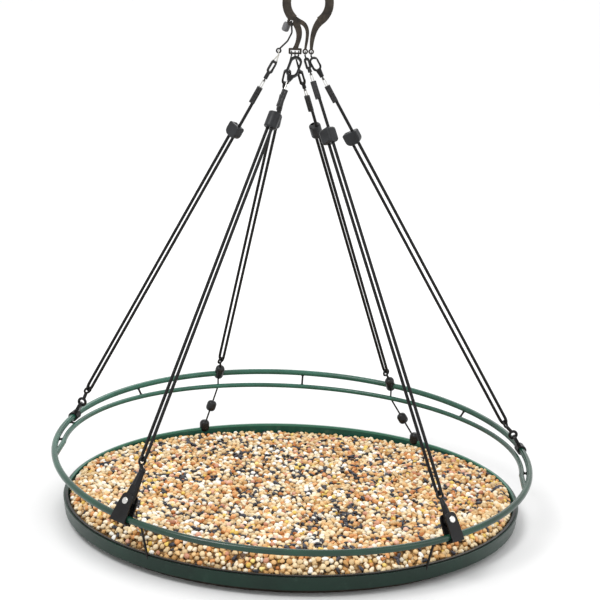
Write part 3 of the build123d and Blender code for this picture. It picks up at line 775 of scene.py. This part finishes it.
def weld_rails():
    """A small uneven bead of weld where each strut or stay meets a rail."""
    rng = random.Random(5)
    spots = []
    for angle in STRUT_ANGLES:
        upper, lower = ring_point(RAIL, angle), ring_point(REAR, angle)
        run = (lower - upper).normalized()
        spots += [(upper + run * RAIL_SURFACE, run), (lower - run * REAR_SURFACE, run)]
    for angle in STAY_ANGLES:
        top = ring_point(RAIL, angle)
        spots.append((top - Vector((0, 0, RAIL_SURFACE)), Vector((0, 0, -1))))
    points, faces = icosphere(3)
    grains = []
    shapes = []
    for place, run in spots:
        offset = Vector((rng.random() * 9, rng.random() * 9, 0))
        blob = points.copy()
        for row in blob:
            row *= 1 + 0.22 * noise.noise(Vector(row) * 1.6 + offset)
        shapes.append(blob)
        matrix = run.to_track_quat("Z", "Y").to_matrix() @ Matrix.Diagonal(WELD_RADII)
        grains.append((place, matrix, len(shapes) - 1, 0))
    merge_grains("rail_welds", grains, shapes, faces, [WIRE_COAT])


# ---------------------------------------------------------------- carried-over nodes
def paint(name, material):
    """Gives a node this material, whichever of its slots a face uses."""
    node = nodes[name]
    node.data.materials.clear()
    node.data.materials.append(material)
    for link in node.material_slots:
        link.link = "OBJECT"
        link.material = material


CORD_SKIN = black_cord()
IRON = forged_iron()
HARDWARE = coated(
    "black_hardware", "0D0D0E", "1C1C1D", "6E6B68", metallic=0.3, rough=(0.26, 0.42))
WIRE_COAT = coated("dark_wire", "121110", "24211F", "6A625A", metallic=0.4, edge=0.0002)
BEAD_COAT = coated("black_bead", "0F1010", "202122", "5C5D5E", rough=(0.22, 0.36), edge=0.0005)
PAN_COAT = lipped_pan()
STEEL = bright_steel()
LEFT_NECK_END = 0.0603
RAIL_COAT = green_rail()
PLASTIC = slider_plastic()

# tether: which way it falls
DOWN = {
    "left": (-0.46022, 0.14334, -0.87616),
    "front_left": (-0.30899, -0.391, -0.86697),
    "rear_left": (-0.16397, 0.49569, -0.85288),
    "front_right": (0.314, -0.3898, -0.86571),
    "right": (0.50019, 0.08019, -0.86219),
    "rear_right": (0.26301, 0.46478, -0.84546),
}

for node_name, coat in (
        ("hanger_bar", IRON), ("hook_wire", WIRE_COAT), ("hook_knob", grey_rubber()),
        ("steel_links", STEEL), ("clip_rivets", STEEL), ("upper_rail", RAIL_COAT),
        ("rear_rail", RAIL_COAT), ("rail_struts", WIRE_COAT), ("front_stays", WIRE_COAT),
        ("tray_band", green_band()), ("tray_pan", PAN_COAT), ("tray_foot", brown_foot()),
        ("drop_wires", WIRE_COAT), ("drop_beads", BEAD_COAT), ("rim_clamps", BEAD_COAT)):
    paint(node_name, coat)
for tether, down in DOWN.items():
    for part in ("clasp", "gate", "lower_link"):
        paint(f"{tether}_{part}", HARDWARE)
    paint(f"{tether}_hoop_clip", BEAD_COAT if tether.startswith("rear") else HARDWARE)
    paint(f"{tether}_crimp", black_sleeve(tether, down))
    paint(f"{tether}_slider", PLASTIC)
paint("left_clasp", bright_necked(DOWN["left"], LEFT_NECK_END))

weld_rails()
lay_cords()
seed_ground()
lay_seed()


# ---------------------------------------------------------------- stage, light and camera
def floor():
    """A wide matt floor just under the foot, greyer near the tray than beyond it, a painted shadow
    round the tray.
    """
    bm = bmesh.new()
    bmesh.ops.create_circle(bm, cap_ends=True, segments=96, radius=40.0)
    mesh = bpy.data.meshes.new("studio_floor")
    bm.to_mesh(mesh)
    bm.free()
    material = bpy.data.materials.new("studio_floor")
    material.use_nodes = True
    shader = material.node_tree.nodes["Principled BSDF"]
    nodes_in, links_in = material.node_tree.nodes, material.node_tree.links
    where = nodes_in.new("ShaderNodeNewGeometry")
    reach = nodes_in.new("ShaderNodeVectorMath")
    reach.operation = "LENGTH"
    links_in.new(where.outputs["Position"], reach.inputs[0])
    # Painted shadow: the floor's colour is darkest near the tray and brightens with distance from
    # it.
    painted_shadow_tone = nodes_in.new("ShaderNodeMapRange")
    for socket, value in (("From Min", 0.55), ("From Max", 0.95),
                          ("To Min", 0.74), ("To Max", 0.955)):
        painted_shadow_tone.inputs[socket].default_value = value
    links_in.new(reach.outputs["Value"], painted_shadow_tone.inputs["Value"])
    links_in.new(painted_shadow_tone.outputs["Result"], shader.inputs["Base Color"])
    shader.inputs["Roughness"].default_value = 0.9
    shader.inputs["Specular IOR Level"].default_value = 0.1
    mesh.materials.append(material)
    obj = bpy.data.objects.new("studio_floor", mesh)
    obj.location = (0, 0, FLOOR_Z)
    scene.collection.objects.link(obj)


def area_light(name, place, aim, size, power):
    data = bpy.data.lights.new(name, "AREA")
    data.shape = "DISK"
    data.size = size
    data.energy = power
    obj = bpy.data.objects.new(name, data)
    obj.location = place
    obj.rotation_euler = (Vector(aim) - Vector(place)).to_track_quat("-Z", "Y").to_euler()
    scene.collection.objects.link(obj)


def camera():
    """A long lens a little above the tray, with the small roll of the view."""
    pitch, yaw, roll = radians(12.736), radians(0.078), radians(2.0)
    ahead = Vector((sin(yaw) * cos(pitch), cos(yaw) * cos(pitch), -sin(pitch)))
    right = ahead.cross(Vector((0, 0, 1))).normalized()
    up = right.cross(ahead)
    rolled_right = right * cos(roll) + up * sin(roll)
    rolled_up = up * cos(roll) - right * sin(roll)
    axes = Matrix((rolled_right, rolled_up, -ahead)).transposed().to_4x4()
    data = bpy.data.cameras.new("camera")
    data.sensor_width = 36.0
    data.lens = 97.8
    eye = (0.0, -1.5103, 0.0633)
    obj = bpy.data.objects.new("camera", data)
    obj.matrix_world = Matrix.Translation(eye) @ axes
    scene.collection.objects.link(obj)
    scene.camera = obj


floor()
camera()
# name: place, where it aims, its size and its power in watts
LIGHTS = {
    "key": ((-0.9, -1.0, 1.6), (0, 0, -0.35), 1.0, 22),
    "fill": ((1.6, -0.8, 0.7), (0, 0, -0.3), 1.4, 5),
    "back": ((0.3, 1.8, 1.3), (0, 0, -0.3), 1.2, 10),
}
for light_name, light in LIGHTS.items():
    area_light(light_name, *light)

world = bpy.data.worlds.new("studio")
scene.world = world
world.use_nodes = True
sky = world.node_tree.nodes["Background"].inputs
sky["Color"].default_value = (1, 1, 1, 1)
sky["Strength"].default_value = 1.06
scene.view_settings.view_transform = "Standard"
